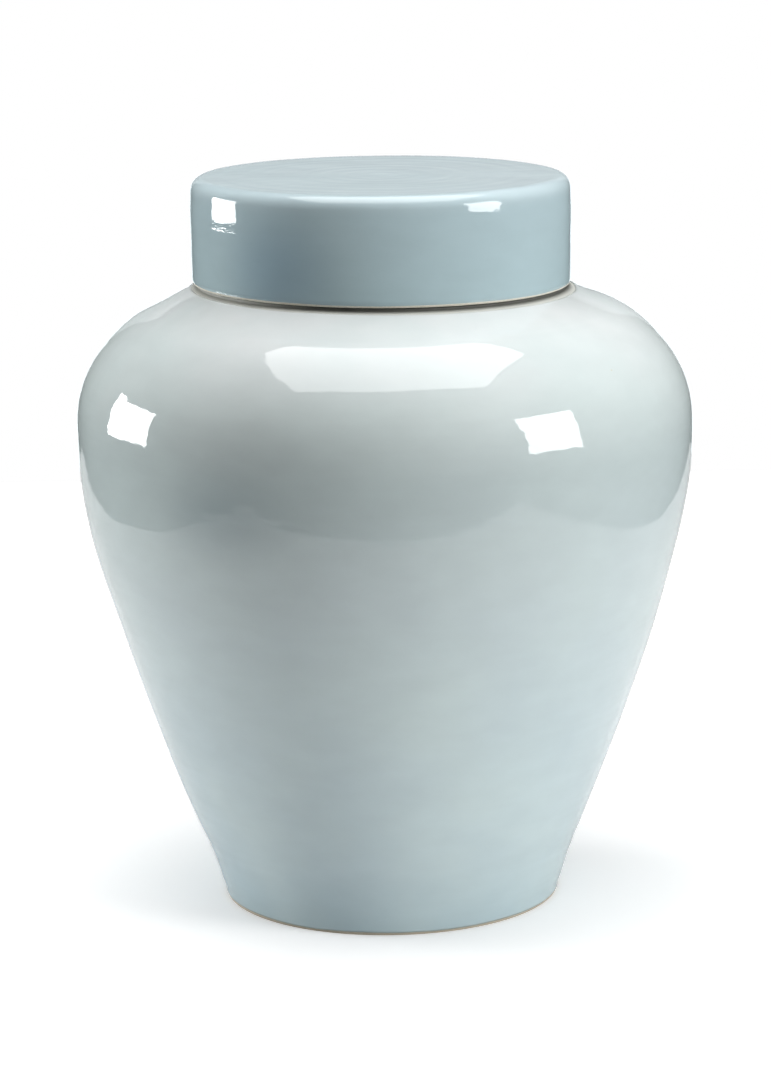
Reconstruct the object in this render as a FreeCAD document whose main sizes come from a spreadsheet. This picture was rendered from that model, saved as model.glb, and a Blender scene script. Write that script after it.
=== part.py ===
import FreeCAD, Part
import math
import os
import re
import Sketcher
from FreeCAD import Vector

# Ginger jar: a thrown and glazed storage jar with a drum-shaped lid.
#
# Frame: +Z up along the jar's axis, origin at the centre of the foot, on the surface it stands on.
# The jar and the lid are two fired pieces. Each is a clay body that carries its own coats of glaze,
# and the clay is bare on the foot, the seat, the neck and the rim of the lid, as on a jar that was
# fired with its lid in place. All the pieces are turned on a wheel, so each is one outline revolved
# about the axis, and every face of a glaze coat runs parallel to the clay below it.

DOC = FreeCAD.newDocument("GingerJar")

# Driving dimensions, in millimetres and degrees. Radii and arcs of the jar's side are its clay's.
SIZES = [
    ("belly_radius", 170.3, "widest radius of the jar"),
    ("belly_height", 270.8, "height of the widest part"),
    ("shoulder_arc", 68.3, "radius of the round shoulder above the belly"),
    ("shoulder_angle", 66.0, "how far the shoulder turns in before it runs straight to the seat"),
    ("belly_arc", 283.2, "radius of the side just below the belly"),
    ("belly_angle", 15.2, "how far that arc turns"),
    ("wall_arc", 1320.0, "radius of the nearly straight side below it"),
    ("wall_angle", 8.2, "how far that arc turns"),
    ("foot_height", 1.5, "upright bare band of the foot, below the flare"),
    ("foot_edge", 0.8, "rounding of the foot ring's edges"),
    ("recess_radius", 83.0, "inner radius of the foot ring"),
    ("recess_depth", 6.0, "depth of the hollow inside the foot ring"),
    ("recess_round", 3.0, "rounding at the root of the foot ring"),
    ("wall", 7.0, "thickness of the jar's wall"),
    ("floor_height", 15.0, "height of the jar's inner floor"),
    ("floor_round", 16.0, "rounding between floor and wall"),
    ("seat_height", 346.9, "height of the turned ledge that the lid sits on"),
    ("seat_radius", 102.0, "outer radius of that ledge"),
    ("seat_edge", 0.4, "rounding of the ledge's outer edge"),
    ("neck_radius", 95.5, "outer radius of the upright neck"),
    ("mouth_radius", 89.5, "inner radius of the neck"),
    ("neck_height", 381.0, "height of the neck's rim"),
    ("neck_round", 2.4, "rounding of the neck's rim"),
    ("seat_round", 1.5, "rounding between the seat and the neck"),
    ("throat_round", 8.0, "rounding between the shoulder and the neck, inside"),
    ("glaze", 0.6, "thickness of the outer glaze"),
    ("inner_glaze", 0.5, "thickness of the glaze inside and under the foot"),
    ("glaze_end_radius", 102.9, "radius where the jar's glaze stops, short of the seat"),
    ("mouth_glaze_gap", 4.0, "bare clay below the neck's rim, inside"),
    ("lid_clearance", 0.4, "height of the lid's rim above the seat"),
    ("lid_radius", 104.1, "outer radius of the lid's clay"),
    ("lid_wall", 6.4, "thickness of the lid's wall"),
    ("lid_top", 405.4, "height of the lid's flat top, without its glaze"),
    ("lid_roof", 7.5, "thickness of the lid's flat top"),
    ("lid_shoulder", 6.6, "rounding of the lid's top edge"),
    ("lid_corner", 9.0, "rounding inside the lid's top"),
    ("lid_edge", 1.2, "rounding of the lid's rim"),
    ("lid_bare_band", 1.5, "bare clay above the lid's rim, outside"),
    ("lid_bare_inside", 9.0, "bare clay above the lid's rim, inside"),
]


def make_sheet():
    """Put the driving dimensions in a spreadsheet, one row each, with its alias and its meaning."""
    sheet = DOC.addObject("Spreadsheet::Sheet", "Sizes")
    for row, (alias, value, meaning) in enumerate(SIZES, start=1):
        sheet.set(f"A{row}", alias)
        sheet.set(f"B{row}", str(value))
        sheet.set(f"C{row}", meaning)
        sheet.setAlias(f"B{row}", alias)
    DOC.recompute()
    return sheet


SHEET = make_sheet()
ALIASES = {alias for alias, _, _ in SIZES}

# Heights and radii that several pieces share, as formulas of the sheet's dimensions.
LID_RIM = "seat_height + lid_clearance"
LID_BORE = "lid_radius - lid_wall"
LID_CEILING = "lid_top - lid_roof"

# What a sketch calls its own axes, and how near an edge must lie to the place it is looked for.
H_AXIS = -1
V_AXIS = -2
EDGE_MATCH = 1e-3


def number(formula):
    """The value that a formula of the sheet's dimensions has now."""
    return float(SHEET.evalExpression(formula))


def bound(formula):
    """The same formula, written as another object of the document reads it."""
    def qualify(match):
        word = match.group(0)
        return f"Sizes.{word}" if word in ALIASES else word
    return re.sub(r"[a-z_]+", qualify, formula)


def at(x, y):
    """A point given as two formulas, in millimetres."""
    return (number(x), number(y))


class Outline:
    """A closed outline of one piece, x out from the axis and y up, to be revolved about the axis."""

    def __init__(self, label):
        self.body = DOC.addObject("PartDesign::Body", label)
        self.body.Label = label
        self.sketch = self.body.newObject("Sketcher::SketchObject", f"{label}_outline")
        planes = [item for item in self.body.Origin.OriginFeatures if item.Role == "XZ_Plane"]
        self.sketch.AttachmentSupport = (planes[0], [""])
        self.sketch.MapMode = "FlatFace"
        self.label = label
        self.tip = None

    def constrain(self, *terms, formula=None):
        """Add a constraint, and drive it by a formula of the sheet if it has a size."""
        if formula is None:
            self.sketch.addConstraint(Sketcher.Constraint(*terms))
            return
        value = number(formula)
        if terms[0] == "Angle":
            value = math.radians(value)
        index = self.sketch.addConstraint(Sketcher.Constraint(*terms, value))
        name = f"size_{index}"
        self.sketch.renameConstraint(index, name)
        self.sketch.setExpression(f"Constraints.{name}", bound(formula))

    def line(self, start, end, along=None):
        """A straight run between two points, held level or upright if asked."""
        segment = Part.LineSegment(Vector(*start, 0), Vector(*end, 0))
        index = self.sketch.addGeometry(segment, False)
        if along:
            self.constrain(along, index)
        return index

    def arc(self, centre, radius, first, last, radius_formula=None):
        """An arc, anticlockwise from its first angle to its last, in radians."""
        circle = Part.Circle(Vector(*centre, 0), Vector(0, 0, 1), radius)
        index = self.sketch.addGeometry(Part.ArcOfCircle(circle, first, last), False)
        if radius_formula:
            self.constrain("Radius", index, formula=radius_formula)
        return index

    def join(self, first, second, tangent=False):
        """Join two ends, each given as a segment and 1 for its start or 2 for its end."""
        self.constrain("Tangent" if tangent else "Coincident", *first, *second)

    def place(self, end, x=None, y=None):
        """Drive one end's distance from the axis, its height, or both; 0 lies on an axis itself."""
        for kind, formula, axis in (("DistanceX", x, V_AXIS), ("DistanceY", y, H_AXIS)):
            if formula == "0":
                self.constrain("PointOnObject", *end, axis)
            elif formula is not None:
                self.constrain(kind, *end, formula=formula)

    def point(self, end):
        """Where an end of a drawn segment lies, in millimetres."""
        found = self.sketch.getPoint(*end)
        return (found.x, found.y)

    def run(self, corners, closed=False):
        """Level and upright lines through corners given as formulas; return the two loose ends.

        Each line's far end is driven, so the first corner is left to what the run starts from.
        """
        if closed:
            corners = corners + corners[:1]
        points = [at(*corner) for corner in corners]
        lines = []
        for start, end, (x, y) in zip(points, points[1:], corners[1:]):
            level = abs(start[1] - end[1]) < abs(start[0] - end[0])
            line = self.line(start, end, "Horizontal" if level else "Vertical")
            if lines:
                self.join((lines[-1], 2), (line, 1))
            lines.append(line)
            self.place((line, 2), **({"x": x} if level else {"y": y}))
        if closed:
            self.join((lines[-1], 2), (lines[0], 1))
        return (lines[0], 1), (lines[-1], 2)

    def bridge(self, first, second, along=None):
        """A straight line from one loose end to another."""
        line = self.line(self.point(first), self.point(second), along)
        self.join(first, (line, 1))
        self.join((line, 2), second)
        return line

    def revolve(self):
        """Turn the outline once round the axis into the piece's solid."""
        if self.sketch.solve() != 0:
            raise RuntimeError(f"{self.label}: the outline doesn't solve")
        DOC.recompute()
        if not self.sketch.FullyConstrained:
            raise RuntimeError(f"{self.label}: the outline isn't fully constrained")
        turned = self.body.newObject("PartDesign::Revolution", f"{self.label}_turned")
        turned.Profile = self.sketch
        turned.ReferenceAxis = (self.sketch, ["V_Axis"])
        turned.Angle = 360.0
        self.tip = turned
        DOC.recompute()

    def round(self, name, radius, rings):
        """Round the circular edges that lie at the given (radius, height) points."""
        names = []
        for ring in rings:
            for index, edge in enumerate(self.tip.Shape.Edges, start=1):
                if not isinstance(edge.Curve, Part.Circle):
                    continue
                found = (edge.Curve.Radius, edge.Curve.Center.z)
                if math.dist(found, ring) < EDGE_MATCH:
                    names.append(f"Edge{index}")
        if len(names) != len(rings):
            raise RuntimeError(f"{self.label}: {name} found {len(names)} of {len(rings)} edges")
        fillet = self.body.newObject("PartDesign::Fillet", f"{self.label}_{name}")
        fillet.Base = (self.tip, names)
        fillet.Radius = number(radius)
        fillet.setExpression("Radius", bound(radius))
        self.tip = fillet
        DOC.recompute()


def polar(centre, radius, angle):
    """The point of a circle at an angle, in radians."""
    return (centre[0] + radius * math.cos(angle), centre[1] + radius * math.sin(angle))


def draw_side(outline, offset, slope_end, flared):
    """Draw the jar's side as smoothly joined arcs; return its lowest and highest loose ends.

    From the top: the straight slope up to the seat, the round shoulder, the arc below the belly,
    the nearly straight wall and, if flared, the arc that turns the wall upright at the foot.
    The offset, such as "- wall", is how far the line lies outside the clay's outer face, and
    slope_end is about where the slope stops, as a radius.
    """
    belly_height = number("belly_height")
    turned_in = math.radians(number("shoulder_angle"))
    below_belly = math.radians(number("belly_angle"))
    below_wall = below_belly + math.radians(number("wall_angle"))

    centre = (number("belly_radius - shoulder_arc"), belly_height)
    radius = number(f"shoulder_arc {offset}")
    shoulder = outline.arc(centre, radius, 0, turned_in, f"shoulder_arc {offset}")
    outline.place((shoulder, 3), x="belly_radius - shoulder_arc", y="belly_height")
    outline.constrain("Horizontal", shoulder, 3, shoulder, 1)
    outline.constrain("Angle", shoulder, formula="shoulder_angle")

    start = polar(centre, radius, turned_in)
    rise = (start[0] - number(slope_end)) / math.tan(turned_in)
    slope = outline.line(start, (number(slope_end), start[1] + rise))
    outline.join((shoulder, 2), (slope, 1), tangent=True)

    centre = (number("belly_radius - belly_arc"), belly_height)
    radius = number(f"belly_arc {offset}")
    belly = outline.arc(centre, radius, -below_belly, 0, f"belly_arc {offset}")
    outline.constrain("Angle", belly, formula="belly_angle")
    outline.join((belly, 2), (shoulder, 1), tangent=True)

    centre = polar(centre, -number("wall_arc - belly_arc"), -below_belly)
    radius = number(f"wall_arc {offset}")
    wall = outline.arc(centre, radius, -below_wall, -below_belly, f"wall_arc {offset}")
    outline.join((wall, 2), (belly, 1), tangent=True)
    if not flared:
        return (wall, 1), (slope, 2)

    outline.constrain("Angle", wall, formula="wall_angle")
    reach = (centre[1] - number("foot_height")) / math.sin(below_wall)
    centre = polar(centre, reach, -below_wall)
    flare = outline.arc(centre, reach - radius, math.pi - below_wall, math.pi)
    outline.join((flare, 1), (wall, 1), tangent=True)
    outline.constrain("Horizontal", flare, 3, flare, 2)
    outline.place((flare, 2), y="foot_height")
    return (flare, 2), (slope, 2)


def make_jar_body():
    """The jar's fired clay: foot ring, floor, wall, shoulder, seat and neck, in one piece."""
    jar = Outline("jar_body")
    foot_top, slope_top = draw_side(jar, "", "seat_radius", flared=True)
    floor_edge, throat = draw_side(jar, "- wall", "mouth_radius", flared=False)

    under_foot = jar.run([("0", "recess_depth"), ("recess_radius", "recess_depth"),
                          ("recess_radius", "0")])
    foot = jar.line((jar.point(foot_top)[0], 0), jar.point(foot_top), "Vertical")
    jar.join((foot, 2), foot_top)
    jar.bridge(under_foot[1], (foot, 1), "Horizontal")

    jar.place(slope_top, x="seat_radius")
    neck = jar.run([("seat_radius", "seat_height"), ("neck_radius", "seat_height"),
                    ("neck_radius", "neck_height"), ("mouth_radius", "neck_height")])
    jar.place(neck[0], y="seat_height")
    jar.bridge(slope_top, neck[0], "Vertical")
    jar.bridge(neck[1], throat, "Vertical")

    jar.place(floor_edge, y="floor_height")
    centre_line = jar.line(at("0", "floor_height"), at("0", "recess_depth"), "Vertical")
    jar.bridge(floor_edge, (centre_line, 1), "Horizontal")
    jar.join((centre_line, 2), under_foot[0])
    jar.place((centre_line, 2), x="0", y="recess_depth")

    jar.revolve()
    jar.round("foot_edges", "foot_edge", [at("recess_radius", "0"), jar.point((foot, 1))])
    jar.round("recess_root", "recess_round", [at("recess_radius", "recess_depth")])
    jar.round("neck_rim", "neck_round", [at("neck_radius", "neck_height"),
                                         at("mouth_radius", "neck_height")])
    jar.round("seat_root", "seat_round", [at("neck_radius", "seat_height")])
    jar.round("seat_rim", "seat_edge", [at("seat_radius", "seat_height")])
    jar.round("throat", "throat_round", [jar.point(throat)])
    jar.round("floor_corner", "floor_round", [jar.point(floor_edge)])
    return jar.body


def make_jar_outer_glaze():
    """The coat on the outside of the jar, from just above the foot to just short of the seat."""
    coat = Outline("jar_outer_glaze")
    clay_foot, clay_top = draw_side(coat, "", "glaze_end_radius", flared=True)
    foot, top = draw_side(coat, "+ glaze", "glaze_end_radius + glaze", flared=True)
    coat.place(clay_top, x="glaze_end_radius")
    coat.bridge(clay_foot, foot)
    lip = coat.bridge(clay_top, top)
    coat.constrain("Perpendicular", lip, clay_top[0])
    coat.revolve()
    return coat.body


def make_jar_inner_glaze():
    """The coat inside the jar: the floor, the wall, the shoulder and the throat."""
    coat = Outline("jar_inner_glaze")
    clay_floor, clay_throat = draw_side(coat, "- wall", "mouth_radius", flared=False)
    floor, throat = draw_side(coat, "- wall - inner_glaze", "mouth_radius - inner_glaze", flared=False)

    coat.place(clay_floor, y="floor_height")
    coat.place(floor, y="floor_height + inner_glaze")
    axis = coat.line(at("0", "floor_height"), at("0", "floor_height + inner_glaze"), "Vertical")
    coat.bridge(clay_floor, (axis, 1), "Horizontal")
    coat.bridge((axis, 2), floor, "Horizontal")
    coat.place((axis, 1), x="0")

    lip = coat.line(at("mouth_radius", "neck_height - mouth_glaze_gap"),
                    at("mouth_radius - inner_glaze", "neck_height - mouth_glaze_gap"), "Horizontal")
    coat.place((lip, 1), x="mouth_radius", y="neck_height - mouth_glaze_gap")
    coat.place((lip, 2), x="mouth_radius - inner_glaze")
    coat.bridge(clay_throat, (lip, 1), "Vertical")
    coat.bridge((lip, 2), throat, "Vertical")

    coat.revolve()
    coat.round("clay_floor", "floor_round", [coat.point(clay_floor)])
    coat.round("floor", "floor_round - inner_glaze", [coat.point(floor)])
    coat.round("clay_throat", "throat_round", [coat.point(clay_throat)])
    coat.round("throat", "throat_round + inner_glaze", [coat.point(throat)])
    return coat.body


def make_jar_base_glaze():
    """The coat under the jar, on the level roof of the hollow inside the foot ring."""
    coat = Outline("jar_base_glaze")
    coat.run([("0", "recess_depth - inner_glaze"),
              ("recess_radius - recess_round", "recess_depth - inner_glaze"),
              ("recess_radius - recess_round", "recess_depth"),
              ("0", "recess_depth")], closed=True)
    coat.revolve()
    return coat.body


def make_lid_body():
    """The lid's fired clay: a flat-topped drum, open below, with a level bare rim."""
    lid = Outline("lid_body")
    lid.run([("0", LID_CEILING), (LID_BORE, LID_CEILING), (LID_BORE, LID_RIM),
             ("lid_radius", LID_RIM), ("lid_radius", "lid_top"), ("0", "lid_top")], closed=True)
    lid.revolve()
    lid.round("top_edge", "lid_shoulder", [at("lid_radius", "lid_top")])
    lid.round("inner_corner", "lid_corner", [at(LID_BORE, LID_CEILING)])
    lid.round("rim_edges", "lid_edge", [at(LID_BORE, LID_RIM), at("lid_radius", LID_RIM)])
    return lid.body


def make_lid_outer_glaze():
    """The coat on the lid's top and side, down to the bare band above its rim."""
    coat = Outline("lid_outer_glaze")
    band = f"{LID_RIM} + lid_bare_band"
    radius = "lid_radius + glaze"
    top = "lid_top + glaze"
    coat.run([("lid_radius", band), (radius, band), (radius, top), ("0", top),
              ("0", "lid_top"), ("lid_radius", "lid_top")], closed=True)
    coat.revolve()
    coat.round("clay_edge", "lid_shoulder", [at("lid_radius", "lid_top")])
    coat.round("top_edge", "lid_shoulder + glaze", [at(radius, top)])
    return coat.body


def make_lid_inner_glaze():
    """The coat inside the lid, on its ceiling and the upper part of its wall."""
    coat = Outline("lid_inner_glaze")
    band = f"{LID_RIM} + lid_bare_inside"
    bore = f"{LID_BORE} - inner_glaze"
    ceiling = f"{LID_CEILING} - inner_glaze"
    coat.run([(LID_BORE, band), (LID_BORE, LID_CEILING), ("0", LID_CEILING), ("0", ceiling),
              (bore, ceiling), (bore, band)], closed=True)
    coat.revolve()
    coat.round("clay_corner", "lid_corner", [at(LID_BORE, LID_CEILING)])
    coat.round("corner", "lid_corner - inner_glaze", [at(bore, ceiling)])
    return coat.body


def check_and_export(pieces):
    """Stop on anything that failed to build, then write each piece to its own STEP file."""
    DOC.recompute()
    for item in DOC.Objects:
        if {"Invalid", "Error"} & set(item.State):
            raise RuntimeError(f"{item.Name} failed: {item.State}")
    os.makedirs("parts", exist_ok=True)
    for piece in pieces:
        shape = piece.Shape
        if shape.isNull() or not shape.isValid() or len(shape.Solids) != 1:
            raise RuntimeError(f"{piece.Label} isn't one valid solid")
        shape.exportStep(f"parts/{piece.Label}.step")
        box = shape.optimalBoundingBox(False, False)
        print(f"{piece.Label}: {shape.Volume / 1000:.1f} cm3, radius {box.XMax:.2f}, "
              f"height {box.ZMin:.2f} to {box.ZMax:.2f}")


check_and_export([
    make_jar_body(),
    make_jar_outer_glaze(),
    make_jar_inner_glaze(),
    make_jar_base_glaze(),
    make_lid_body(),
    make_lid_outer_glaze(),
    make_lid_inner_glaze(),
])
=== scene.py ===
import math

import bpy
import numpy as np
from mathutils import Matrix, Vector


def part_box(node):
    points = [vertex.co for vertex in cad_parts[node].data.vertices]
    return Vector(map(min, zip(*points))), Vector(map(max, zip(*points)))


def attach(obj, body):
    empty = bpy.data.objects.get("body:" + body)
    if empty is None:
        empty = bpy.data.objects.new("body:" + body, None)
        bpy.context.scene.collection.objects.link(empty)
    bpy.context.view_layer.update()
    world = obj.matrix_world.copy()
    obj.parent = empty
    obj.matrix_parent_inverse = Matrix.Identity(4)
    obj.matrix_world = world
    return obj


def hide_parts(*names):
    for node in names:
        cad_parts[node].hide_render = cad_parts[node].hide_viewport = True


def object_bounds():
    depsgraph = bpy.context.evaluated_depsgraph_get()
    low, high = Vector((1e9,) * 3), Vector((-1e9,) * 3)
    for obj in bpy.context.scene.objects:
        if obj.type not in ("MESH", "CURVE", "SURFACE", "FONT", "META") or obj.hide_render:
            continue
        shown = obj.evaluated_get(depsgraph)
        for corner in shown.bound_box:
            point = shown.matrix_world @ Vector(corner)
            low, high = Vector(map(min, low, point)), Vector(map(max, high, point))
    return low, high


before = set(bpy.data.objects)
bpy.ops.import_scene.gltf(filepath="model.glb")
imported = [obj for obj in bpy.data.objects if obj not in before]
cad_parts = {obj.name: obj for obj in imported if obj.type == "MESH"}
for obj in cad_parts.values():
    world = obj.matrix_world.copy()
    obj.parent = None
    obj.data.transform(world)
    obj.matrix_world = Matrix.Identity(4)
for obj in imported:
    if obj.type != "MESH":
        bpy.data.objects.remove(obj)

# A celadon ginger jar, about 40 cm tall, with its drum-shaped lid on.
#
# Every piece is turned from its CAD node's own outline, so the sizes come from the frame.
# On top of that come the marks of hand work: an axis that wanders, a foot that swells a little
# above its base, a lid that sits askew, throwing rings, the uneven skin of the glaze and the
# rolled, wavy edges where it stops.

CAD_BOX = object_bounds()
MM = 0.001


# ---------------------------------------------------------------- outlines of the CAD pieces

ON_PLANE = 1e-6                  # how far off the half plane y = 0, x > 0 a CAD vertex may lie
CORNER = math.radians(25)        # a sharper turn than this splits an outline


class Stretch:
    """A smooth run of an outline: places (radius, height), directions along it and outward normals."""

    def __init__(self, places, along, outward):
        self.places = places
        self.along = along
        self.outward = outward

    def distances(self):
        """How far along the run each place lies."""
        steps = np.linalg.norm(np.diff(self.places, axis=0), axis=1)
        return np.concatenate([[0.0], np.cumsum(steps)])

    def length(self):
        return self.distances()[-1]

    def widest(self):
        return self.places[:, 0].max()


def spot(point):
    """A vertex's radius and height, rounded so that vertices in one place count as one."""
    return (round(point.x, 7), round(point.z, 7))


def seam_links(node):
    """The CAD mesh's edges in the half plane: from each end to the other, with the normals at both."""
    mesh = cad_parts[node].data
    normals = mesh.corner_normals
    vertices = mesh.vertices
    links = {}
    for face in mesh.polygons:
        corners = list(zip(face.vertices, face.loop_indices))
        for (first, a), (second, b) in zip(corners, corners[1:] + corners[:1]):
            ends = (vertices[first].co, vertices[second].co)
            if any(abs(end.y) > ON_PLANE or end.x < -ON_PLANE for end in ends):
                continue
            start, stop = spot(ends[0]), spot(ends[1])
            normal_a, normal_b = normals[a].vector, normals[b].vector
            flat_a, flat_b = (normal_a.x, normal_a.z), (normal_b.x, normal_b.z)
            links.setdefault(start, {})[stop] = (flat_a, flat_b)
            links.setdefault(stop, {})[start] = (flat_b, flat_a)
    return links


def close_level_faces(links):
    """Level faces have no edge in the half plane: join their two ends, or lead the one to the axis."""
    loose = sorted((place for place, others in links.items() if len(others) == 1), key=lambda p: p[1])
    while loose:
        place = loose.pop(0)
        other = (0.0, place[1])
        if loose and abs(loose[0][1] - place[1]) < ON_PLANE:
            other = loose.pop(0)
        links[place][other] = (None, None)
        links.setdefault(other, {})[place] = (None, None)


def walk(links):
    """The outline's places in order, from its lower end on the axis, or once round if it has none."""
    on_axis = [place for place in links if place[0] == 0.0]
    start = min(on_axis or links, key=lambda place: place[1])
    order = [start]
    while True:
        ahead = [place for place in links[order[-1]] if place not in order[-2:]]
        if not ahead:
            return order
        order.append(ahead[0])
        if order[-1] == start:
            return order


def direction(normal, chord):
    """The unit direction along the outline at a vertex, square to its normal and along the chord."""
    if normal is None or math.hypot(*normal) < 0.5:
        return chord / np.linalg.norm(chord)
    along = np.array([-normal[1], normal[0]]) / math.hypot(*normal)
    return along if along @ chord > 0 else -along


def stretches(node, step):
    """The CAD node's outline as smooth stretches, with a place at least every step."""
    links = seam_links(node)
    close_level_faces(links)
    order = walk(links)
    runs = []
    heading = None
    for start, stop in zip(order, order[1:]):
        first, last = links[start][stop]
        a, b = np.array(start), np.array(stop)
        chord = b - a
        leave, arrive = direction(first, chord), direction(last, chord)
        if heading is None or heading @ leave < math.cos(CORNER):
            runs.append([(a, leave)])
        reach = np.linalg.norm(chord)
        count = max(1, math.ceil(reach / step))
        for i in range(1, count + 1):
            t = i / count
            place = (a * (1 + 2 * t) * (1 - t) ** 2 + b * (3 - 2 * t) * t * t
                     + leave * reach * t * (1 - t) ** 2 - arrive * reach * (1 - t) * t * t)
            turn = leave * (1 - t) + arrive * t
            runs[-1].append((place, turn / np.linalg.norm(turn)))
        heading = arrive
    return [make_stretch(run, order) for run in runs]


def make_stretch(run, order):
    """A stretch from (place, direction) pairs; its normals point out of the solid."""
    places = np.array([place for place, _ in run])
    along = np.array([way for _, way in run])
    ring = np.array(order)
    area = np.sum(ring[:-1, 0] * ring[1:, 1] - ring[1:, 0] * ring[:-1, 1])
    side = 1.0 if area > 0 else -1.0
    outward = side * np.stack([along[:, 1], -along[:, 0]], axis=1)
    return Stretch(places, along, outward)


# ---------------------------------------------------------------- marks of the hand

LID_LOW, LID_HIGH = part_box("lid_body")
LID_RIM = LID_LOW.z
LID_TOP = LID_HIGH.z
SEAT_LEAN = math.radians(0.85)       # how far the seat, and the lid on it, lean towards +X
LID_TOP_LEAN = math.radians(0.35)    # the lid's top leans less than its rim
SEAT_FADE = 14 * MM                  # the lean fades out this far below the seat
SEAT_EDGE = LID_HIGH.x - 2.7 * MM    # outer radius of the seat, well under the lid
GAP_SHADE_REACH = 3.8 * MM                 # how far beyond it the painted shade of the gap under the lid reaches
FOOT_RADIUS = 94 * MM
LID_ASIDE = 0.5 * MM                 # how far to the left the lid's rim sits
LID_RIGHTING = 0.3 * MM              # how much of that its top makes up for
OVAL = 0.0008                        # how far from round the belly is, as a share of its width
OVAL_TURN = 0.7                      # which way the oval lies
DRIFT = 0.4                          # how far the axis strays front to back, against sideways

# Where the jar's axis strays to, sideways, at a few heights: (height, distance), millimetres.
WANDER = [(0, 0), (27, 0.1), (62, -0.34), (105, 0.06), (149, 0.5), (203, -0.36), (262, 0.22),
          (303, -0.26), (347, 0)]

# How much fuller the foot is than its CAD outline: (height, distance), millimetres.
FOOT_FULL = [(0, -0.5), (13, 1.05), (27, 0), (34, -0.25), (46, 0)]

# How far the lid's wall stands out from a true drum: (share of its height, distance), millimetres.
LID_WALL = [(0, -0.1), (0.375, 0.08), (0.69, 0.3), (1, -0.17)]
LID_FLARE = 0.16 * MM                # how far the lid's rim flares out in one place
FLARE_AT = math.radians(-61)         # where that is, and how high it reaches
FLARE_HEIGHT = 5.5 * MM


def smooth(values):
    """Ease a 0 to 1 ramp in and out."""
    held = np.clip(values, 0.0, 1.0)
    return held * held * (3 - 2 * held)


def eased_table(table, at):
    """Values of a small table of (position, value), eased from one row to the next."""
    rows = np.array(table, float)
    index = np.clip(np.searchsorted(rows[:, 0], at) - 1, 0, len(rows) - 2)
    low, high = rows[index], rows[index + 1]
    share = smooth((at - low[..., 0]) / (high[..., 0] - low[..., 0]))
    return low[..., 1] + (high[..., 1] - low[..., 1]) * share


def ripples(points, size, seed, squash=1.0, waves=14):
    """Smooth random bumps, mostly within -1 to 1; size is their spacing, squash flattens them."""
    chance = np.random.default_rng(seed)
    total = np.zeros(points.shape[:-1])
    for _ in range(waves):
        way = chance.normal(size=3)
        way /= np.linalg.norm(way)
        way *= 2 * math.pi / size * np.array([1.0, 1.0, squash])
        total += np.cos(points @ way + chance.uniform(0, 2 * math.pi))
    return total / math.sqrt(waves)


def rings(points, spacing, seed, waves=7):
    """Throwing rings: ridges round the axis that climb a little and come and go."""
    chance = np.random.default_rng(seed)
    angle = np.arctan2(points[..., 1], points[..., 0])
    radius = np.hypot(points[..., 0], points[..., 1])
    rise = points[..., 2] + 0.6 * radius
    total = np.zeros(points.shape[:-1])
    for _ in range(waves):
        pitch = spacing * chance.uniform(0.7, 1.6)
        lobes = chance.integers(1, 4)
        swell = 1 + 0.6 * np.cos(lobes * angle + chance.uniform(0, 2 * math.pi))
        drift = 0.9 * np.sin(angle + chance.uniform(0, 2 * math.pi))
        total += swell * np.cos(2 * math.pi * rise / pitch + drift + chance.uniform(0, 2 * math.pi))
    return total / waves


def jar_form(points):
    """The jar's departures from a true form: wandering axis, fuller foot, oval belly, leaning seat."""
    x, y, z = points[..., 0], points[..., 1], points[..., 2]
    angle = np.arctan2(y, x)
    shift = eased_table(WANDER, z / MM) * MM
    drift = DRIFT * eased_table(WANDER, LID_RIM / MM - z / MM) * MM
    full = 1 + eased_table(FOOT_FULL, z / MM) * MM / FOOT_RADIUS
    oval = full + OVAL * np.cos(2 * angle + OVAL_TURN) * np.sin(math.pi * np.clip(z / LID_RIM, 0, 1))
    lean = SEAT_LEAN * smooth((z - (LID_RIM - SEAT_FADE)) / SEAT_FADE)
    height = np.maximum(z - x * np.tan(lean), 0)
    return np.stack([x * oval + shift, y * oval + drift, height], axis=-1)


def lid_form(points):
    """The lid's departures: it leans with its seat, its top leans less, and its wall is waisted."""
    x, y, z = points[..., 0], points[..., 1], points[..., 2]
    share = np.clip((z - LID_RIM) / (LID_TOP - LID_RIM), 0, 1)
    lean = SEAT_LEAN + (LID_TOP_LEAN - SEAT_LEAN) * share
    reach = np.hypot(x, y) / LID_HIGH.x
    waist = eased_table(LID_WALL, share) * MM * reach
    towards = np.clip(np.cos(np.arctan2(y, x) - FLARE_AT), 0, 1) ** 4
    waist += LID_FLARE * reach * towards * (1 - smooth((z - LID_RIM) / FLARE_HEIGHT))
    grow = 1 + waist / LID_HIGH.x
    slide = LID_RIGHTING * share - LID_ASIDE
    return np.stack([x * grow + slide, y * grow, z - x * np.tan(lean)], axis=-1)


# ---------------------------------------------------------------- turning a piece

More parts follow.
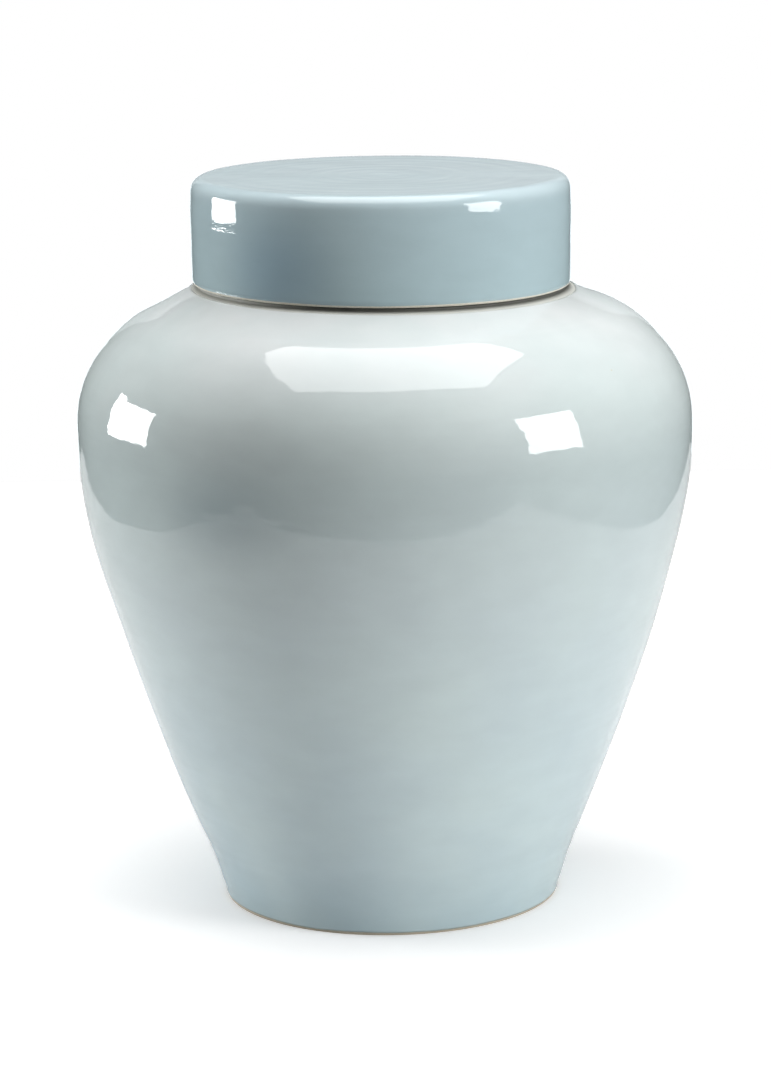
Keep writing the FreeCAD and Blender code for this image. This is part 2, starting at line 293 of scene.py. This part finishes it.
def lathe(name, places, outward, closed, lift, form, around):
    """Turn an outline about the axis into one closed mesh.

    lift gives how far each vertex moves along its outward normal, form moves the finished vertices.
    """
    places = places.copy()
    places[:, 0] = np.maximum(places[:, 0], 0.0)
    angles = np.arange(around) * 2 * math.pi / around
    cos, sin = np.cos(angles), np.sin(angles)
    radius, height = places[:, :1], places[:, 1:]
    points = np.stack([radius * cos, radius * sin, np.repeat(height, around, axis=1)], axis=-1)
    normals = np.stack([outward[:, :1] * cos, outward[:, :1] * sin,
                        np.repeat(outward[:, 1:], around, axis=1)], axis=-1)
    points = points + normals * lift(points)[..., None]
    points = form(points)

    vertices = []
    rows = []
    for ring, (reach, _) in zip(points, places):
        if reach < ON_PLANE:
            rows.append([len(vertices)] * around)
            vertices.append(ring.mean(axis=0))
        else:
            rows.append(list(range(len(vertices), len(vertices) + around)))
            vertices.extend(ring)
    faces = []
    pairs = list(zip(rows, rows[1:]))
    if closed:
        pairs.append((rows[-1], rows[0]))
    for low, high in pairs:
        for i in range(around):
            j = (i + 1) % around
            corners = dict.fromkeys((low[i], low[j], high[j], high[i]))
            if len(corners) > 2:
                faces.append(tuple(corners))
    mesh = bpy.data.meshes.new(name)
    mesh.from_pydata([tuple(v) for v in vertices], [], faces)
    mesh.validate()
    turn_outward(mesh, places)
    mesh.shade_smooth()
    piece = bpy.data.objects.new(name, mesh)
    bpy.context.scene.collection.objects.link(piece)
    return piece


def turn_outward(mesh, places):
    """Flip the mesh if its faces look into the solid, which happens when its outline runs clockwise."""
    ring = np.vstack([places, places[:1]])
    area = np.sum(ring[:-1, 0] * ring[1:, 1] - ring[1:, 0] * ring[:-1, 1])
    if area < 0:
        mesh.flip_normals()


def finish_piece(piece, material, body, node):
    """Give a turned piece its material and its body, and hide the CAD node that it stands for."""
    piece.data.materials.append(material)
    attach(piece, body)
    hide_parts(node)


AROUND = 360                     # vertices round a glazed piece
CLAY_AROUND = 240
SKIN_STEP = 1.3 * MM
CLAY_STEP = 3.0 * MM
SHARP = math.radians(40)         # the clay's edges that turn more than this stay sharp
UNDER_STRIDE = 3                 # a coat's hidden side has one place for so many of its skin
RUN_FADE = 20 * MM               # over what length a coat that ends early or late is drawn out
WAVE_FADE = 3 * MM               # how far in from its edge the waves of a coat's edge reach
WAVE_RING = 100 * MM             # radius of the ring that the waves are laid out on
END_WAVES = [(0.7, 70 * MM), (0.3, 22 * MM)]     # each wave's share and its length

# Relief: (depth, spacing, seed), and for the swells how much they are flattened too.
CLAY_RINGS = [(0.035 * MM, 6 * MM, 3), (0.012 * MM, 2.6 * MM, 8)]
GLAZE_SWELLS = [(0.050 * MM, 62 * MM, 21, 1.5), (0.022 * MM, 30 * MM, 22, 1.7),
                (0.006 * MM, 13 * MM, 23, 1.5)]
GLAZE_RINGS = (0.006 * MM, 9 * MM, 24)


def clay_marks(points):
    """Relief of the thrown clay: rings from the fingers and finer ones between them."""
    return sum(depth * rings(points, spacing, seed) for depth, spacing, seed in CLAY_RINGS)


def glaze_marks(points):
    """Relief of the fired glaze: broad soft swells, flattened bumps and the rings that show through."""
    swells = sum(depth * ripples(points, size, seed, squash)
                 for depth, size, seed, squash in GLAZE_SWELLS)
    depth, spacing, seed = GLAZE_RINGS
    return swells + depth * rings(points, spacing, seed)


def turned_clay(name, node, form):
    """A fired clay body, turned from its whole outline."""
    runs = stretches(node, CLAY_STEP)
    places = np.vstack([run.places[:-1] for run in runs[:-1]] + [runs[-1].places])
    outward = np.vstack([run.outward[:-1] for run in runs[:-1]] + [runs[-1].outward])
    piece = lathe(name, places, outward, False, clay_marks, form, CLAY_AROUND)
    piece.data.set_sharp_from_angle(angle=SHARP)
    return piece


def coat_faces(node, outside):
    """A coat's free face and the one against the clay, which are its two longest stretches."""
    faces = sorted(stretches(node, SKIN_STEP), key=Stretch.length)[-2:]
    free = (max if outside else min)(faces, key=Stretch.widest)
    clay = faces[0] if free is faces[1] else faces[1]
    if abs(free.widest() - clay.widest()) < 0.01 * MM:
        free, clay = sorted(faces, key=lambda face: face.places[:, 1].mean())
    return free, clay


def there_and_back(values, keep):
    """Values along a coat's skin, and then back along the kept places of its hidden side."""
    return np.concatenate([values, values[::-1][keep]])


def glaze_coat(name, node, form, outside, end_roll, end_wave, seed, end_run=(0, 0, 0)):
    """A coat of glaze: its free face, rolled down to the clay at its open ends, and its hidden side.

    end_roll is how far from an end the coat thins, end_wave how far that end strays up and down,
    end_run how far the glaze runs beyond the CAD coat's lower and upper end, and how much further
    the upper end runs on the right.
    """
    free, clay = coat_faces(node, outside)
    thickness = np.linalg.norm(clay.places[:, None] - free.places[None], axis=2).min(axis=0).mean()

    run = free.distances()
    ends = [gap for gap, place in ((run, free.places[0]), (run[-1] - run, free.places[-1]))
            if place[0] > ON_PLANE]
    from_end = np.min(ends, axis=0)
    share = np.clip(from_end / end_roll, 0, 1)
    depth = thickness * (1 - np.sqrt(1 - (1 - share) ** 2))

    skin = free.places - free.outward * depth[:, None]
    under = (free.places - free.outward * thickness)[::-1]
    closed = len(ends) == 2
    keep = np.arange(len(under)) % UNDER_STRIDE == 0
    keep[0] = keep[-1] = False
    if not closed:
        keep[under[:, 0] < ON_PLANE] = True
    places = np.vstack([skin, under[keep]])
    outward = there_and_back(free.outward, keep)
    along = there_and_back(free.along, keep)
    fade = np.concatenate([share, np.zeros(keep.sum())])[:, None]

    way_up = 1 if free.places[0, 1] < free.places[-1, 1] else -1
    lower = there_and_back((run < run[-1] / 2) == (way_up == 1), keep)[:, None]
    near_end = there_and_back(np.exp(-from_end / WAVE_FADE), keep)[:, None]
    settle = there_and_back(np.exp(-from_end / RUN_FADE), keep)[:, None]

    def lift(points):
        return clay_marks(points) + fade * glaze_marks(points)

    def strayed(points):
        angle = np.arctan2(points[..., 1], points[..., 0])
        ring = WAVE_RING * np.stack([np.cos(angle), np.sin(angle), np.zeros_like(angle)], axis=-1)
        waves = sum(part * ripples(ring, length, seed + i) for i, (part, length) in enumerate(END_WAVES))
        upper_run = end_run[1] + end_run[2] * np.cos(angle)
        stray = end_wave * waves * near_end
        stray += settle * np.where(lower, -end_run[0], upper_run) * way_up
        shift = np.stack([along[:, :1] * np.cos(angle), along[:, :1] * np.sin(angle),
                          np.repeat(along[:, 1:], points.shape[1], axis=1)], axis=-1)
        return form(points + shift * stray[..., None])

    return lathe(name, places, outward, closed, lift, strayed, AROUND)


# ---------------------------------------------------------------- materials

class Recipe:
    """A node material with helpers that keep each material's own function short."""

    def __init__(self, name):
        self.material = bpy.data.materials.new(name)
        self.material.use_nodes = True
        self.tree = self.material.node_tree
        self.tree.nodes.clear()
        self.shader = self.add("ShaderNodeBsdfPrincipled")
        output = self.add("ShaderNodeOutputMaterial")
        self.link(self.shader.outputs["BSDF"], output.inputs["Surface"])
        self.place = self.add("ShaderNodeTexCoord").outputs["Object"]

    def add(self, kind):
        return self.tree.nodes.new(kind)

    def link(self, source, target):
        self.tree.links.new(source, target)

    def stretched(self, scale):
        """Object coordinates, scaled along each axis."""
        mapping = self.add("ShaderNodeMapping")
        mapping.inputs["Scale"].default_value = scale
        self.link(self.place, mapping.inputs["Vector"])
        return mapping.outputs["Vector"]

    def turned(self, angle):
        """Object coordinates, turned about the Y axis."""
        mapping = self.add("ShaderNodeMapping")
        mapping.inputs["Rotation"].default_value = (0, -angle, 0)
        self.link(self.place, mapping.inputs["Vector"])
        return mapping.outputs["Vector"]

    def noise(self, size, detail=2.0, roughness=0.5, flat=1.0):
        """Noise whose features are about size metres across, flattened in height by flat."""
        node = self.add("ShaderNodeTexNoise")
        node.inputs["Scale"].default_value = 1 / size
        node.inputs["Detail"].default_value = detail
        node.inputs["Roughness"].default_value = roughness
        self.link(self.stretched((1, 1, flat)), node.inputs["Vector"])
        return node.outputs["Fac"]

    def ramp(self, value, stops):
        """A colour ramp over a 0 to 1 value; stops are (position, colour)."""
        node = self.add("ShaderNodeValToRGB")
        band = node.color_ramp
        while len(band.elements) < len(stops):
            band.elements.new(0.5)
        for element, (position, colour) in zip(band.elements, stops):
            element.position = position
            element.color = (*colour, 1)
        self.link(value, node.inputs["Fac"])
        return node.outputs["Color"]

    def span(self, value, low, high, out_low=0.0, out_high=1.0, eased=False):
        """A value mapped from one range to another, held at its ends and eased between them or not."""
        node = self.add("ShaderNodeMapRange")
        node.interpolation_type = "SMOOTHSTEP" if eased else "LINEAR"
        settings = (("From Min", low), ("From Max", high), ("To Min", out_low), ("To Max", out_high))
        for socket, number in settings:
            node.inputs[socket].default_value = number
        self.link(value, node.inputs["Value"])
        return node.outputs["Result"]

    def mix(self, share, first, second, blend="MIX"):
        """Two colours mixed; each is an output or a plain colour."""
        node = self.add("ShaderNodeMix")
        node.data_type = "RGBA"
        node.blend_type = blend
        sockets = ((node.inputs[0], share), (node.inputs[6], first), (node.inputs[7], second))
        for socket, source in sockets:
            if isinstance(source, bpy.types.NodeSocket):
                self.link(source, socket)
            elif isinstance(source, tuple):
                socket.default_value = (*source, 1)
            else:
                socket.default_value = source
        return node.outputs[2]

    def product(self, first, second):
        """The product of two values."""
        node = self.add("ShaderNodeMath")
        node.operation = "MULTIPLY"
        self.link(first, node.inputs[0])
        self.link(second, node.inputs[1])
        return node.outputs["Value"]

    def distance(self, centre, scale=(1, 1, 1)):
        """How far away a place is, with each axis scaled."""
        node = self.add("ShaderNodeVectorMath")
        node.operation = "DISTANCE"
        self.link(self.stretched(scale), node.inputs[0])
        node.inputs[1].default_value = tuple(c * share for c, share in zip(centre, scale))
        return node.outputs["Value"]

    def height(self):
        split = self.add("ShaderNodeSeparateXYZ")
        self.link(self.place, split.inputs["Vector"])
        return split.outputs["Z"]

    def bump(self, reliefs):
        """Chained bumps from (height output, depth in metres) pairs."""
        normal = None
        for relief, depth in reliefs:
            node = self.add("ShaderNodeBump")
            node.inputs["Distance"].default_value = depth
            node.inputs["Strength"].default_value = 1.0
            self.link(relief, node.inputs["Height"])
            if normal:
                self.link(normal, node.inputs["Normal"])
            normal = node.outputs["Normal"]
        self.link(normal, self.shader.inputs["Normal"])


GLAZE_PATCH = 0.5                # how far the patches of thicker glaze lean to their tint
SPECK_COLOUR = (0.62, 0.60, 0.45)
SPECK_SPACING = 24 * MM
SPECK_STRENGTH = 0.55
BARE_GREY_AND_SHADE = (0.60, 0.61, 0.57)   # the jar's bare clay outside the seat, grey partly of its own and partly as painted shade from the lid
GAP_PAINTED_SHADE = (0.03, 0.03, 0.02)    # and painted shade where the lid's rim shades it


def glaze_material(name, tones, tint, painted_shades=()):
    """Celadon glaze: tones by height, drifting patches, painted shade, faint streaks, specks and a
    glassy skin.

    tones are (share of the height, colour); tint is the colour that patches of thicker glaze lean to;
    painted_shades are patches of painted shade where the lamps light the side least: (centre, full,
    none, flat, colour), which is dark within full of the centre, fades out by none, and reaches less far
    up and down by flat.
    """
    recipe = Recipe(name)
    base = recipe.ramp(recipe.span(recipe.height(), 0.0, CAD_BOX[1].z), tones)
    cloud = recipe.span(recipe.noise(90 * MM, detail=3), 0.38, 0.68, 0.0, GLAZE_PATCH)
    base = recipe.mix(cloud, base, tint)
    # Painted shade: darken the patches where the lamps light the side least.
    for centre, full, none, flat, colour in painted_shades:
        away = recipe.distance(centre, (1, 1, flat))
        base = recipe.mix(recipe.span(away, full, none, 1.0, 0.0, eased=True), base, colour)
    streak = recipe.span(recipe.noise(26 * MM, detail=4, flat=2.2), 0.3, 0.7, 0.978, 1.02)
    base = recipe.mix(1.0, base, streak, "MULTIPLY")
    base = recipe.mix(specks(recipe), base, SPECK_COLOUR)
    recipe.link(base, recipe.shader.inputs["Base Color"])
    gloss = recipe.span(recipe.noise(34 * MM, detail=3), 0.3, 0.7, 0.006, 0.024)
    recipe.link(gloss, recipe.shader.inputs["Roughness"])
    recipe.shader.inputs["IOR"].default_value = 1.5
    recipe.bump([(recipe.noise(8 * MM, detail=2.5, flat=2.2), 0.036 * MM),
                 (recipe.noise(3.2 * MM, detail=1.5, flat=2.5), 0.012 * MM)])
    return recipe.material


def specks(recipe):
    """A few pale iron specks under the glaze, about a millimetre across."""
    cells = recipe.add("ShaderNodeTexVoronoi")
    cells.inputs["Scale"].default_value = 1 / SPECK_SPACING
    recipe.link(recipe.place, cells.inputs["Vector"])
    near = recipe.span(cells.outputs["Distance"], 0.018, 0.030, 1.0, 0.0)
    split = recipe.add("ShaderNodeSeparateColor")
    recipe.link(cells.outputs["Color"], split.inputs["Color"])
    chosen = recipe.span(split.outputs["Red"], 0.80, 0.97)
    return recipe.span(recipe.product(near, chosen), 0.0, 1.0, 0.0, SPECK_STRENGTH)


def bare_shoulder_and_gap_shade(recipe, base):
    """The jar's bare clay outside the seat: grey, partly as painted shade, and painted dark where the
    gap under the lid's rim shades it.

    The painted shade fades towards the left, where the gap hardly shows.
    """
    split = recipe.add("ShaderNodeSeparateXYZ")
    recipe.link(recipe.turned(SEAT_LEAN), split.inputs["Vector"])
    below_lid = recipe.span(split.outputs["Z"], LID_RIM - 0.25 * MM, LID_RIM - 0.10 * MM, 1.0, 0.0)
    radius = recipe.distance((0, 0, 0), (1, 1, 0))
    outside = recipe.span(radius, SEAT_EDGE - 1.4 * MM, SEAT_EDGE - 0.6 * MM)
    under_edge = recipe.span(radius, SEAT_EDGE, SEAT_EDGE + GAP_SHADE_REACH, 1.0, 0.0)
    across = recipe.span(split.outputs["X"], -85 * MM, -25 * MM, 0.35, 1.0)
    shaded = recipe.product(under_edge, across)
    bare = recipe.product(below_lid, outside)
    # Painted shade: grey the bare band, then darken it under the lid's rim.
    base = recipe.mix(bare, base, BARE_GREY_AND_SHADE)
    return recipe.mix(recipe.product(bare, shaded), base, GAP_PAINTED_SHADE)


def clay_material():
    """Unglazed fired stoneware: cream, warmer in patches, tan at the foot, with a fine sandy grain, and
    painted shade on the jar's bare band beside the lid's rim.
    """
    recipe = Recipe("bare_clay")
    warm = recipe.span(recipe.noise(30 * MM, detail=3), 0.35, 0.7)
    base = recipe.mix(warm, (0.86, 0.84, 0.75), (0.80, 0.75, 0.63))
    grain = recipe.span(recipe.noise(0.9 * MM, detail=2), 0.3, 0.7, 0.90, 1.06)
    base = recipe.mix(1.0, base, grain, "MULTIPLY")
    at_foot = recipe.span(recipe.height(), 3 * MM, 6 * MM, 1.0, 0.0)
    base = recipe.mix(at_foot, base, (0.46, 0.41, 0.32))
    base = bare_shoulder_and_gap_shade(recipe, base)
    recipe.link(base, recipe.shader.inputs["Base Color"])
    rough = recipe.span(recipe.noise(6 * MM), 0.3, 0.7, 0.62, 0.85)
    recipe.link(rough, recipe.shader.inputs["Roughness"])
    recipe.bump([(recipe.noise(0.7 * MM, detail=3), 0.05 * MM),
                 (recipe.noise(4 * MM, flat=3), 0.06 * MM)])
    return recipe.material


# Glaze colours by share of the whole height: bluer and darker below, nearly white by the lid.
JAR_TONES = [(0.0, (0.426, 0.545, 0.586)), (0.10, (0.469, 0.571, 0.608)), (0.35, (0.519, 0.613, 0.633)),
             (0.50, (0.538, 0.624, 0.637)), (0.65, (0.550, 0.636, 0.640)), (0.74, (0.665, 0.741, 0.735)),
             (0.80, (0.690, 0.738, 0.736)), (0.86, (0.815, 0.825, 0.820))]
LID_TONES = [(0.85, (0.475, 0.617, 0.655)), (0.975, (0.475, 0.605, 0.645)),
             (0.995, (0.535, 0.645, 0.680))]
INSIDE_TONES = [(0.0, (0.60, 0.66, 0.64)), (1.0, (0.64, 0.69, 0.67))]

# Painted shade: darker patches on the belly and on the lid's side, to the front left, where the lamps
# light least.
JAR_PAINTED_SHADE = [((-0.085, -0.147, 0.244), 4 * MM, 52 * MM, 1.6, (0.445, 0.530, 0.545))]
LID_PAINTED_SHADE = [((-0.056, -0.088, 0.364), 3 * MM, 46 * MM, 1.0, (0.350, 0.480, 0.550))]


def jar_glaze_material():
    """The jar's pale grey-green celadon."""
    return glaze_material("jar_glaze", JAR_TONES, (0.58, 0.68, 0.67), JAR_PAINTED_SHADE)


def lid_glaze_material():
    """The lid's bluer celadon."""
    return glaze_material("lid_glaze", LID_TONES, (0.44, 0.57, 0.60), LID_PAINTED_SHADE)


def inside_glaze_material():
    """The glaze inside the jar and the lid, and under the foot."""
    return glaze_material("inside_glaze", INSIDE_TONES, (0.60, 0.68, 0.65))


# ---------------------------------------------------------------- the pieces

def make_jar_clay(clay):
    piece = turned_clay("jar_clay", "jar_body", jar_form)
    finish_piece(piece, clay, "jar", "jar_body")


def make_jar_glaze(glaze):
    """The coat outside the jar; it runs lower at the foot and stops well short of the seat."""
    piece = glaze_coat("jar_glaze", "jar_outer_glaze", jar_form, outside=True, end_roll=1.0 * MM,
                       end_wave=0.25 * MM, seed=41, end_run=(0.1 * MM, -2.9 * MM, -0.7 * MM))
    finish_piece(piece, glaze, "jar", "jar_outer_glaze")


def make_jar_inside_glaze(glaze):
    piece = glaze_coat("jar_inside_glaze", "jar_inner_glaze", jar_form, outside=False,
                       end_roll=1.5 * MM, end_wave=0.9 * MM, seed=43)
    finish_piece(piece, glaze, "jar", "jar_inner_glaze")


def make_jar_foot_glaze(glaze):
    piece = glaze_coat("jar_foot_glaze", "jar_base_glaze", jar_form, outside=True,
                       end_roll=1.5 * MM, end_wave=0.8 * MM, seed=45)
    finish_piece(piece, glaze, "jar", "jar_base_glaze")


def make_lid_clay(clay):
    piece = turned_clay("lid_clay", "lid_body", lid_form)
    finish_piece(piece, clay, "lid", "lid_body")


def make_lid_glaze(glaze):
    """The coat outside the lid; it runs down almost to the rim."""
    piece = glaze_coat("lid_glaze", "lid_outer_glaze", lid_form, outside=True, end_roll=0.8 * MM,
                       end_wave=0.20 * MM, seed=47, end_run=(0.25 * MM, 0, 0))
    finish_piece(piece, glaze, "lid", "lid_outer_glaze")


def make_lid_inside_glaze(glaze):
    piece = glaze_coat("lid_inside_glaze", "lid_inner_glaze", lid_form, outside=False,
                       end_roll=1.5 * MM, end_wave=0.9 * MM, seed=49)
    finish_piece(piece, glaze, "lid", "lid_inner_glaze")


def make_ginger_jar():
    """The jar and its lid, each of one clay body and its coats of glaze."""
    clay = clay_material()
    inside = inside_glaze_material()
    make_jar_clay(clay)
    make_jar_glaze(jar_glaze_material())
    make_jar_inside_glaze(inside)
    make_jar_foot_glaze(inside)
    make_lid_clay(clay)
    make_lid_glaze(lid_glaze_material())
    make_lid_inside_glaze(inside)


# ---------------------------------------------------------------- stage, light and camera

AIM = Vector((0, 0, 0.30))           # the height on the jar that the lights point at
FLOOR = (-0.73, 0.65, -0.63, 1.21)   # the white table's edges: left, right, front, back
TABLE_WHITE = (0.9, 0.9, 0.9, 1)
GLOW_CENTRE = (0.04, 0, 0)           # where the table glows least
GLOW_NEAR, GLOW_FAR = 0.12, 0.6      # from how far off the glow rises, and where it is full
BOUNCE_GLOW = 0.15


def panel(name, corners, material):
    """A flat stage panel with the given corners."""
    mesh = bpy.data.meshes.new(name)
    mesh.from_pydata(corners, [], [tuple(range(len(corners)))])
    mesh.materials.append(material)
    made = bpy.data.objects.new(name, mesh)
    bpy.context.scene.collection.objects.link(made)
    return made


def table_material(name):
    """The recipe for plain white matte laminate, still without its glow."""
    recipe = Recipe(name)
    recipe.shader.inputs["Base Color"].default_value = TABLE_WHITE
    recipe.shader.inputs["Roughness"].default_value = 0.9
    recipe.shader.inputs["Emission Color"].default_value = (1, 1, 1, 1)
    return recipe


def floor_material():
    """The table as the camera sees it, overexposed more and more away from the jar."""
    recipe = table_material("floor")
    glow = recipe.span(recipe.distance(GLOW_CENTRE), GLOW_NEAR, GLOW_FAR, 0.34, 0.94)
    recipe.link(glow, recipe.shader.inputs["Emission Strength"])
    return recipe.material


def bounce_material():
    """The table as the jar sees it, lit by its lamps and a little by the room."""
    recipe = table_material("bounce")
    recipe.shader.inputs["Emission Strength"].default_value = BOUNCE_GLOW
    return recipe.material


def glowing(name, colour, strength):
    """A plain glowing material, for the lights and the surround."""
    material = bpy.data.materials.new(name)
    material.use_nodes = True
    nodes = material.node_tree.nodes
    nodes.clear()
    light = nodes.new("ShaderNodeEmission")
    light.inputs["Color"].default_value = (*colour, 1)
    light.inputs["Strength"].default_value = strength
    output = nodes.new("ShaderNodeOutputMaterial")
    material.node_tree.links.new(light.outputs["Emission"], output.inputs["Surface"])
    return material


def level_panel(name, height, material):
    """A panel as big as the table."""
    left, right, front, back = FLOOR
    corners = [(left, front), (right, front), (right, back), (left, back)]
    return panel(name, [(x, y, height) for x, y in corners], material)


def make_floor():
    """A white table top: the panel that the camera sees, and just below it one that lights the jar."""
    seen = level_panel("floor", 0, floor_material())
    seen.visible_diffuse = False
    seen.visible_glossy = False
    seen.visible_shadow = False
    bounce = level_panel("bounce", -1 * MM, bounce_material())
    bounce.visible_camera = False


def make_backdrop():
    """A white surround that only the camera sees, so that the studio stays dark in reflections."""
    bpy.ops.mesh.primitive_uv_sphere_add(segments=48, ring_count=24, radius=12)
    backdrop = bpy.context.object
    backdrop.name = "backdrop"
    backdrop.data.materials.append(glowing("backdrop", (1, 1, 1), 1.0))
    backdrop.visible_diffuse = False
    backdrop.visible_glossy = False
    backdrop.visible_transmission = False
    backdrop.visible_shadow = False


def wall_panel(name, half_width, away, low, high, strength):
    """A glowing upright panel behind the table, which the camera doesn't see."""
    corners = [(-half_width, away, low), (half_width, away, low),
               (half_width, away, high), (-half_width, away, high)]
    wall = panel(name, corners, glowing(name, (0.93, 0.98, 1.0), strength))
    wall.visible_camera = False


def make_rear_wall():
    """The studio's far wall: dim all over, and paler where the lid's top and the outline mirror it."""
    wall_panel("rear_wall", half_width=3.0, away=2.8, low=0.02, high=1.7, strength=0.08)
    wall_panel("rear_wall_lit", half_width=0.9, away=2.78, low=0.45, high=1.2, strength=0.45)
    wall_panel("rear_paper", half_width=0.95, away=2.76, low=-1.0, high=0.40, strength=1.3)


def softbox(name, place, width, height, radiance):
    """A rectangular studio light aimed at the jar; its power follows from its area and radiance."""
    lamp = bpy.data.lights.new(name, "AREA")
    lamp.shape = "RECTANGLE"
    lamp.size = width
    lamp.size_y = height
    lamp.energy = math.pi * width * height * radiance
    light = bpy.data.objects.new(name, lamp)
    light.location = place
    light.rotation_euler = (AIM - place).to_track_quat("-Z", "Y").to_euler()
    bpy.context.scene.collection.objects.link(light)


def around_jar(azimuth, distance, height):
    """A place at an azimuth round the jar: 0 is in front, 90 to the right, in degrees."""
    turn = math.radians(azimuth)
    return Vector((math.sin(turn) * distance, -math.cos(turn) * distance, height))


# The overhead light's outline from above: squarer in front than behind, and wider on the right.
TOP_LIGHT = [(-0.45, 0.3), (-0.2, 0.55), (0.2, 0.55), (0.6, 0.25), (0.6, -0.2), (0.65, -0.5),
             (0.0, -0.65), (-0.55, -0.55), (-0.55, -0.2)]
TOP_LIGHT_HEIGHT = 1.32
TOP_LIGHT_STRENGTH = 4.0
ROOM_LIGHT = 0.035                   # what little light the dark studio itself gives


def make_lights():
    """A softbox on each side and a wide one overhead."""
    left = around_jar(azimuth=-106.9, distance=2.46, height=0.52)
    softbox("left_softbox", left, width=1.08, height=0.86, radiance=13.3)
    right = around_jar(azimuth=63.0, distance=2.51, height=0.86)
    softbox("right_softbox", right, width=1.04, height=1.28, radiance=10.9)
    corners = [(x, y, TOP_LIGHT_HEIGHT) for x, y in TOP_LIGHT]
    panel("top_softbox", corners, glowing("top_softbox", (1, 1, 1), TOP_LIGHT_STRENGTH))


def make_room():
    """The dim studio round the stage, with plain colour handling."""
    world = bpy.data.worlds.new("studio")
    world.use_nodes = True
    background = world.node_tree.nodes["Background"]
    background.inputs["Color"].default_value = (1.0, 1.0, 1.0, 1)
    background.inputs["Strength"].default_value = ROOM_LIGHT
    bpy.context.scene.world = world
    bpy.context.scene.view_settings.view_transform = "Standard"


CAMERA_PLACE = (-0.0006, -2.030, 0.634)
CAMERA_PITCH = math.radians(77.96)   # 0 looks straight down, 90 degrees looks level
CAMERA_ROLL = math.radians(-0.94)


def make_camera():
    """A long lens above the height of the lid, looking down a little at the jar."""
    data = bpy.data.cameras.new("camera")
    data.lens = 123.57
    data.sensor_width = 36
    camera = bpy.data.objects.new("camera", data)
    pitch = Matrix.Rotation(CAMERA_PITCH, 4, "X")
    roll = Matrix.Rotation(CAMERA_ROLL, 4, "Z")
    camera.matrix_world = Matrix.Translation(CAMERA_PLACE) @ pitch @ roll
    bpy.context.scene.collection.objects.link(camera)
    bpy.context.scene.camera = camera


make_camera()
make_floor()
make_backdrop()
make_rear_wall()
make_lights()
make_room()
make_ginger_jar()
